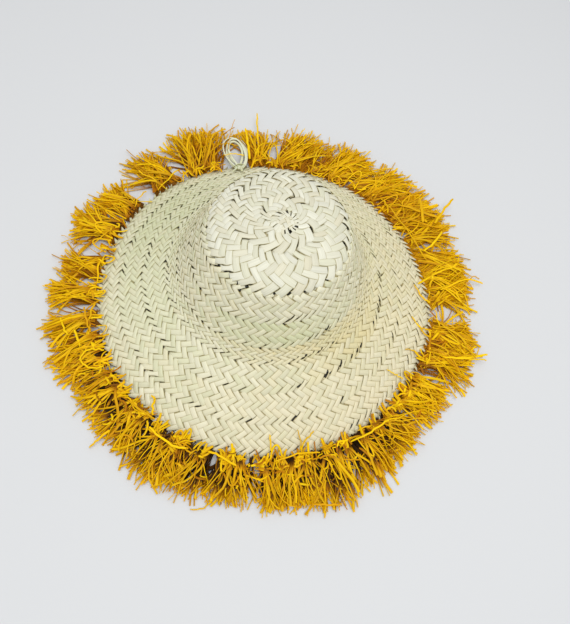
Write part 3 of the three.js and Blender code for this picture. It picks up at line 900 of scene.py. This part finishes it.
# The hanging loop is a few turns of undyed, greenish palm strand, laid side by side in the gap between
# the two ends of the fringe and bound to the brim edge by a wrapped knot.
LOOP_AT = 107.5  # degrees anticlockwise from +X
LOOP_FROM = 173  # radius at which the loop leaves its knot
LOOP_LENGTH = 52
LOOP_WIDTH = 18.5
LOOP_PEAR = 0.22  # how much wider the far half is than the near half
LOOP_RISE = (12.5, 4.5)  # height of the loop's middle line, near and far
LOOP_COLOURS = ["#cdd4ab", "#d6dbb8", "#dfe0c6", "#d2d2a8"]
LOOP_SWING = 1.4  # how far turns stray in and out of their course
LOOP_OPEN = 0.015  # share of a turn left out to each side of the knot
LOOP_TWIST = 0.25  # how far the strands' faces tip
LOOP_TURNS = [  # each turn's offset outwards and up from the loop's middle line, shift aside and width
    (2.6, -0.6, -0.8, 3.2),
    (-2.2, 0.4, 1.2, 3.0),
    (0.4, 1.3, -1.6, 2.6),
    (3.6, 1.0, 1.8, 1.8),
]
LOOP_ENDS = [  # the strand's ends and the turns of its knot, as degrees, radius and height
    [(107.6, 180, 10), (108.6, 172, 14), (111.2, 163, 19.5)],
    [(106.8, 181, 10), (107.2, 171, 15), (107.4, 161, 21)],
    [(109.4, 169, 15), (108.9, 174, 13.5), (108.2, 180, 9), (107.9, 182, 4)],
    [(108.2, 168.5, 15), (107.6, 174, 14), (107.1, 180, 9.5), (106.9, 182, 4)],
    [(106.6, 169.5, 15), (106.4, 174, 13.5), (106.1, 180, 9), (105.8, 182, 4)],
    [(110.2, 176, 12), (107.6, 177, 14.6), (104.9, 176, 12)],
]
LOOP_HALF_THICK = 0.45


def loop_strand(points, face, width, chance):
    shade = blend_of(LOOP_COLOURS, chance.random())
    mark = chance.uniform(0, GRAIN_ROOM)
    return ribbon(points, face, width / 2, LOOP_HALF_THICK, PALM_SECTION, shade, mark)


chance = np.random.default_rng(41)
loop_strands = []
for offset, up, aside, width in LOOP_TURNS:
    roundabout = FULL_TURN * np.linspace(LOOP_OPEN, 1 - LOOP_OPEN, 45)
    swing = offset + LOOP_SWING * np.sin(roundabout * 2 + chance.uniform(0, 6))
    out = (LOOP_LENGTH / 2) * (1 - np.cos(roundabout)) - swing * np.cos(roundabout)
    across = ((LOOP_WIDTH / 2) * (1 - LOOP_PEAR * np.cos(roundabout)) + swing) * np.sin(roundabout)
    across = across + aside * np.sin(roundabout / 2)
    z = np.interp(out, [0, LOOP_LENGTH], LOOP_RISE) + up
    tips = LOOP_TWIST * np.sin(4 * roundabout), LOOP_TWIST * np.cos(3 * roundabout)
    face = np.stack([*tips, np.ones_like(roundabout)], -1)
    points = local_points(LOOP_AT, LOOP_FROM + out, across, z)
    loop_strands.append(loop_strand(points, face, width, chance))
for places in LOOP_ENDS:
    points = laid_points(places, 4)
    outward = points * (1, 1, 0) / np.linalg.norm(points[:, :2], axis=1, keepdims=True)
    loop_strands.append(loop_strand(points, 0.6 * outward + (0, 0, 0.8), chance.uniform(2.4, 3.2), chance))

palm_green = fibre_material("palm_green", streaks=(4, 0.06, 1), tones=(0.9, 1.05), rough=(0.4, 0.6),
                            gloss=0.3, bump=0.3, rim=PALM_RIM)
strand_piece("hanging_loop_strands", loop_strands, palm_green, "hanging_loop")

# The hat lies on a plain pale floor, under soft studio light from above, and is seen from the front and
# well above it, with the camera a little turned.
CAMERA_AWAY = 0.6152  # metres from the middle of the hat, on the floor
CAMERA_RISE = math.radians(63.37)
CAMERA_ROLL = math.radians(12.21)
CAMERA_AIM = Vector((0.0244, -0.0199, 0.0))
CAMERA_LENS = 30.8  # focal length in mm
FLOOR_HALF = 4.0  # metres, as for the lamp
FLOOR_COLOUR = (0.655, 0.667, 0.68, 1)
WORLD_LIGHT = 0.72
LAMP_POWER = 14
LAMP_ACROSS = 1.4
LAMP_PLACE = Vector((0.1, -0.25, 1.6))

floor_mesh = bpy.data.meshes.new("floor")
floor_corners = [(x * FLOOR_HALF, y * FLOOR_HALF, 0) for x, y in ((-1, -1), (1, -1), (1, 1), (-1, 1))]
floor_mesh.from_pydata(floor_corners, [], [(0, 1, 2, 3)])
floor_paint = bpy.data.materials.new("floor_paint")
floor_paint.use_nodes = True
floor_shader = floor_paint.node_tree.nodes["Principled BSDF"]
floor_shader.inputs["Base Color"].default_value = FLOOR_COLOUR
floor_shader.inputs["Roughness"].default_value = 0.9
floor_shader.inputs["Specular IOR Level"].default_value = 0.2
floor_mesh.materials.append(floor_paint)
floor = add_object("floor", floor_mesh)

world = bpy.data.worlds.new("studio")
world.use_nodes = True
sky = world.node_tree.nodes["Background"]
sky.inputs["Color"].default_value = (1.0, 1.0, 1.0, 1)
sky.inputs["Strength"].default_value = WORLD_LIGHT
scene.world = world

lamp = bpy.data.lights.new("overhead", "AREA")
lamp.shape = "DISK"
lamp.size = LAMP_ACROSS
lamp.energy = LAMP_POWER
overhead = add_object("overhead", lamp)
overhead.location = LAMP_PLACE
overhead.rotation_euler = (-LAMP_PLACE).to_track_quat("-Z", "Y").to_euler()

lens = bpy.data.cameras.new("camera")
lens.lens = CAMERA_LENS
lens.clip_start = 0.01
camera = add_object("camera", lens)
camera.location = CAMERA_AWAY * Vector((0, -math.cos(CAMERA_RISE), math.sin(CAMERA_RISE)))
look = (CAMERA_AIM - camera.location).to_track_quat("-Z", "Y").to_matrix()
camera.rotation_euler = (look @ Matrix.Rotation(CAMERA_ROLL, 3, "Z")).to_euler()
scene.camera = camera
scene.view_settings.view_transform = "Standard"
